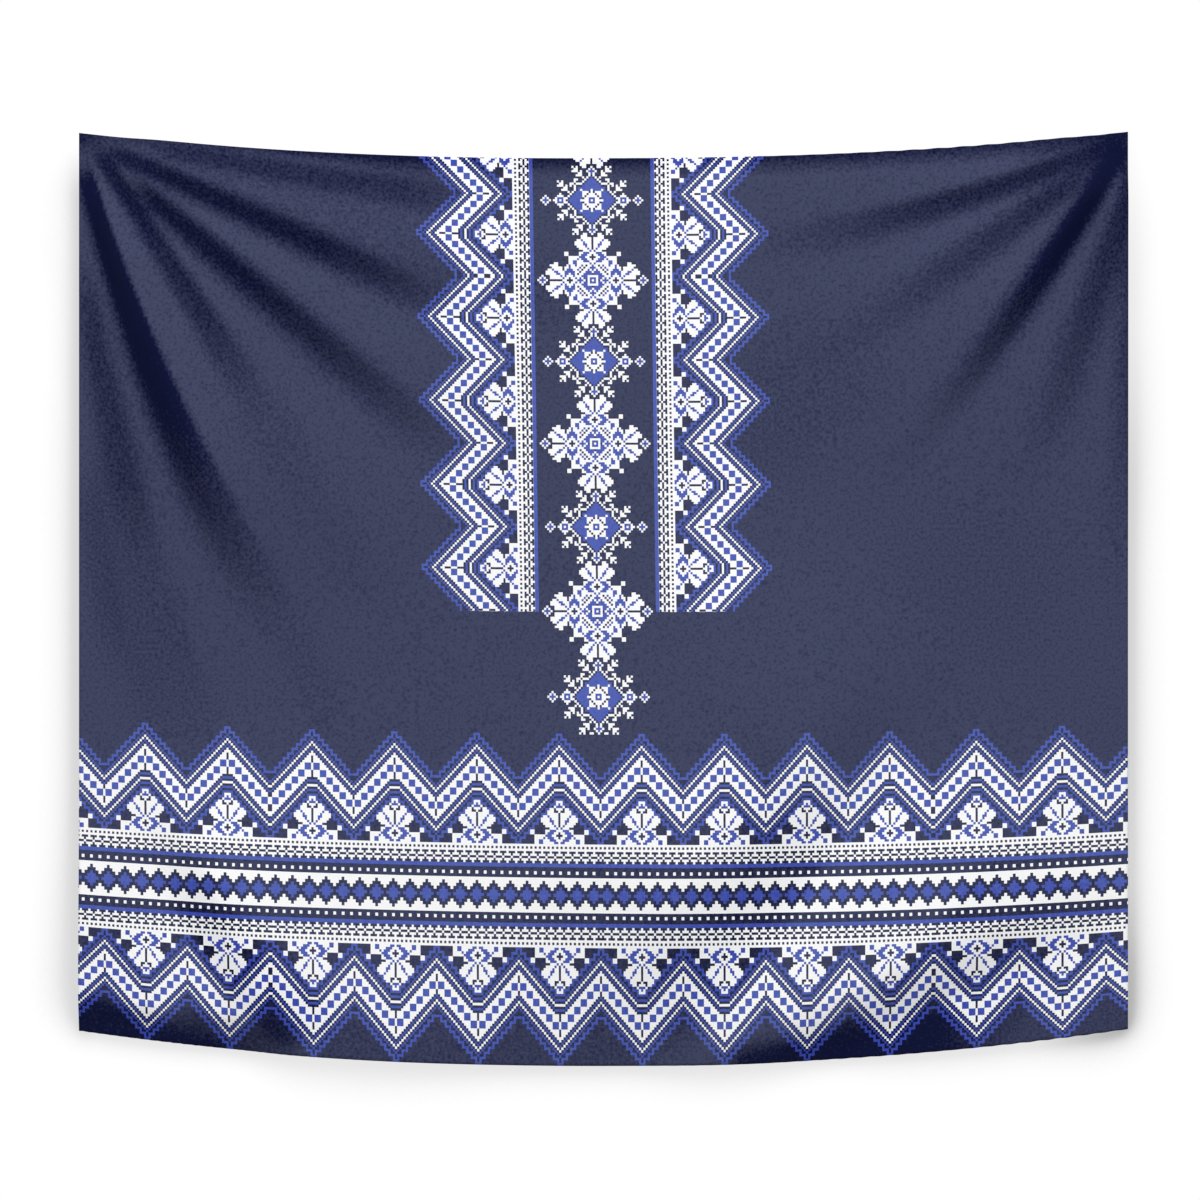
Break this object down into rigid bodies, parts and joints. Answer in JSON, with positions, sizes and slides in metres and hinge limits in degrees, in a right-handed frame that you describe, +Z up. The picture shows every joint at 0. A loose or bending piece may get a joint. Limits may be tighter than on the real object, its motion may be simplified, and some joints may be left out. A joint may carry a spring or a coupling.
{
  "type": "wall tapestry",
  "caption": "Thin printed polyester cloth hung on a wall by its two top corners, with a fan of folds below each corner and a sagging top edge and hem",
  "frame": {"origin": "The middle of the cloth's top edge, in the plane through the two top corners that are held", "axes": "+X to the right along the top edge, seen from the front. +Z up. The printed face looks towards -Y, and the wall is on the +Y side."},
  "size_m": [1.524, 0.0579, 1.3565],
  "materials": {
    "printed_cloth": "matt printed polyester, navy ground"
  },
  "bodies": {
    "root": {"cloth": "printed_cloth"}
  },
  "joints": []
}
